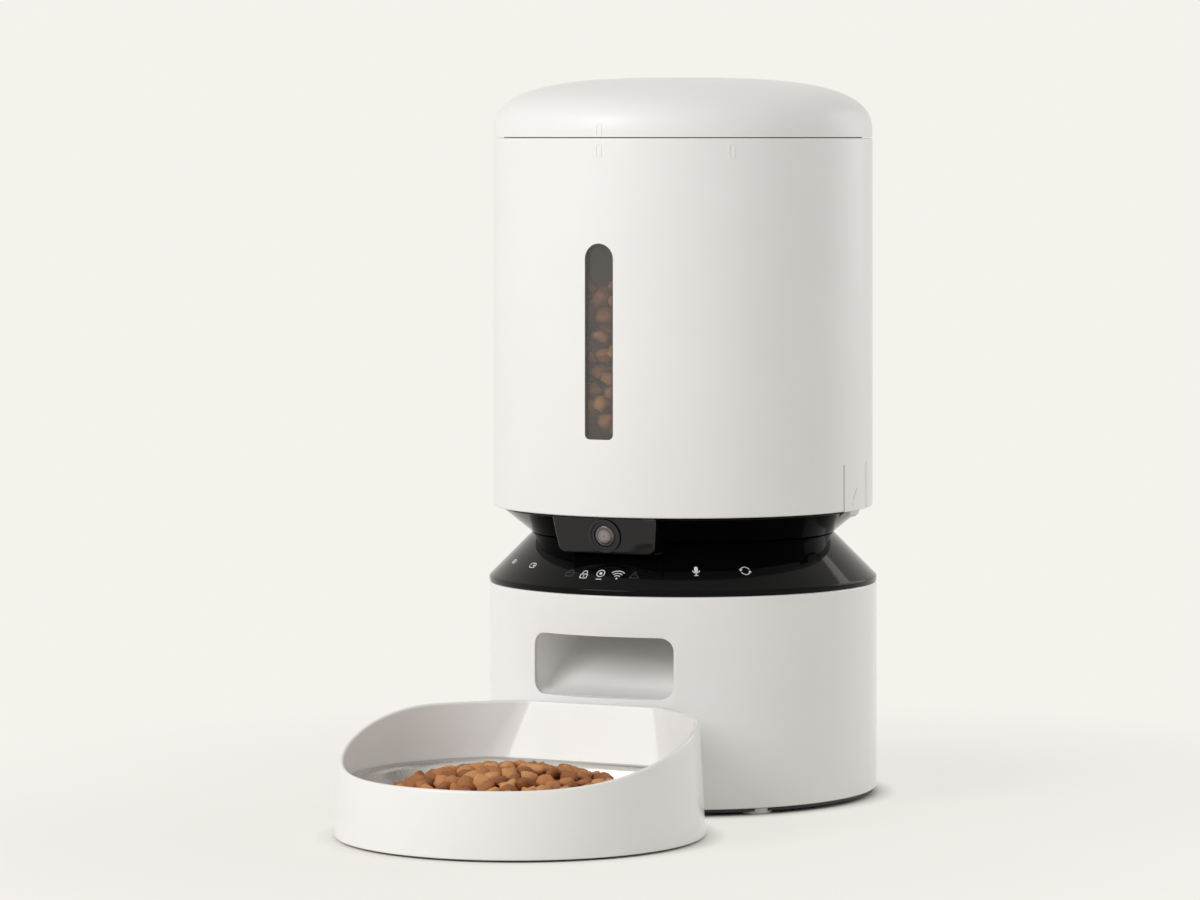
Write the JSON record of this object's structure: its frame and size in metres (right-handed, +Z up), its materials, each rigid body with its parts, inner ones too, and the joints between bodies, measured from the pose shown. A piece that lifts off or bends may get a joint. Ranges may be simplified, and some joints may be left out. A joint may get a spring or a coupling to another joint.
{
  "type": "pet feeder with camera",
  "caption": "Round automatic pet feeder: twist-lid hopper with window over a base with camera, food chute and sliding battery door, and a tray with a steel bowl in front.",
  "frame": {"origin": "floor level, in the middle of the overall box of base and tray", "axes": "+Z up, -Y to the front where the tray stands, +X to the feeder's left hand side"},
  "size_m": [0.194, 0.3612, 0.3572],
  "materials": {
    "glossy_white": "glossy moulded ABS",
    "glossy_black": "high-gloss black ABS",
    "black_plastic": "satin moulded",
    "dark_plastic": "fine textured",
    "inner_white": "satin moulded",
    "pale_rubber": "soft matt",
    "grey_silicone": "soft matt",
    "steel": "zinc plated",
    "stainless_steel": "polished rim, satin inside",
    "circuit_board": "solder mask",
    "lens_glass": "polished",
    "smoky_pane": "smoky clear",
    "acetal": "natural acetal"
  },
  "bodies": {
    "base": {"foot_1": "pale_rubber", "base_screw_1": "steel", "foot_2": "pale_rubber", "base_screw_2": "steel", "foot_3": "pale_rubber", "base_screw_3": "steel", "foot_4": "pale_rubber", "base_screw_4": "steel", "base_shell": "glossy_white", "base_plate": "dark_plastic", "control_panel": "glossy_black", "neck_collar": "glossy_black", "neck_well": "dark_plastic", "camera_housing": "glossy_black", "camera_bezel": "black_plastic", "camera_lens": "lens_glass", "camera_board": "circuit_board", "microphone": "steel", "food_chute": "glossy_white", "gearbox_case": "dark_plastic", "drive_motor": "steel", "main_board": "circuit_board", "speaker": "black_plastic", "dc_inlet": "black_plastic", "battery_contact_front": "steel", "battery_contact_back": "steel"},
    "battery_door": {"battery_cover": "dark_plastic"},
    "drive": {"drive_shaft": "acetal", "drive_gear": "acetal"},
    "pinion": {"motor_pinion": "acetal"},
    "hopper": {"hopper_shell": "glossy_white", "hopper_window": "smoky_pane", "hopper_funnel": "inner_white", "dosing_chamber": "inner_white", "dosing_shield": "inner_white"},
    "tab_left": {"release_tab_left": "glossy_white"},
    "tab_right": {"release_tab_right": "glossy_white"},
    "rotor": {"rotor_hub": "inner_white", "rotor_vanes": "grey_silicone", "stirrer": "inner_white"},
    "lid_ring": {"lid_seal": "pale_rubber"},
    "lid": {"lid_dome": "glossy_white", "lid_liner": "inner_white"},
    "cap": {"desiccant_cap": "inner_white"},
    "tray": {"bowl_tray": "glossy_white", "tray_pad_1": "pale_rubber", "tray_pad_2": "pale_rubber", "tray_pad_3": "pale_rubber", "tray_pad_4": "pale_rubber"},
    "bowl": {"steel_bowl": "stainless_steel"}
  },
  "joints": [
    {"name": "hopper_lift", "type": "slide", "parent": "base", "child": "hopper", "axis": [0, 0, 1], "range_m": [0, 0.06]},
    {"name": "tab_left_press", "type": "hinge", "parent": "hopper", "child": "tab_left", "pos_m": [-0.09375, 0.08365, 0.1665], "axis": [0, -1, 0], "range_deg": [0, 4], "stiffness_Nm_per_rad": 2},
    {"name": "tab_right_press", "type": "hinge", "parent": "hopper", "child": "tab_right", "pos_m": [0.09375, 0.08365, 0.1665], "axis": [0, 1, 0], "range_deg": [0, 4], "stiffness_Nm_per_rad": 2},
    {"name": "rotor_spin", "type": "hinge", "parent": "hopper", "child": "rotor", "pos_m": [0, 0.08365, 0.145], "axis": [0, 0, 1], "continuous": true},
    {"name": "drive_spin", "type": "hinge", "parent": "base", "child": "drive", "pos_m": [0, 0.08365, 0.115], "axis": [0, 0, 1], "continuous": true},
    {"name": "pinion_spin", "type": "hinge", "parent": "base", "child": "pinion", "pos_m": [0, 0.1078, 0.115], "axis": [0, 0, 1], "continuous": true},
    {"name": "lid_lift", "type": "slide", "parent": "hopper", "child": "lid_ring", "axis": [0, 0, 1], "range_m": [0, 0.06]},
    {"name": "lid_turn", "type": "hinge", "parent": "lid_ring", "child": "lid", "pos_m": [0, 0.08365, 0.33], "axis": [0, 0, 1], "range_deg": [0, 40]},
    {"name": "cap_turn", "type": "hinge", "parent": "lid", "child": "cap", "pos_m": [0, 0.08365, 0.314], "axis": [0, 0, 1], "range_deg": [0, 30]},
    {"name": "tray_pull", "type": "slide", "parent": "base", "child": "tray", "axis": [0, -1, 0], "range_m": [0, 0.1]},
    {"name": "bowl_lift", "type": "slide", "parent": "tray", "child": "bowl", "axis": [0, 0, 1], "range_m": [0, 0.05]},
    {"name": "battery_door_slide", "type": "slide", "parent": "base", "child": "battery_door", "axis": [0, 1, 0], "range_m": [0, 0.07]}
  ],
  "couplings": [
    {"joint": "drive_spin", "follows": "rotor_spin", "ratio": 1},
    {"joint": "pinion_spin", "follows": "rotor_spin", "ratio": -3}
  ]
}
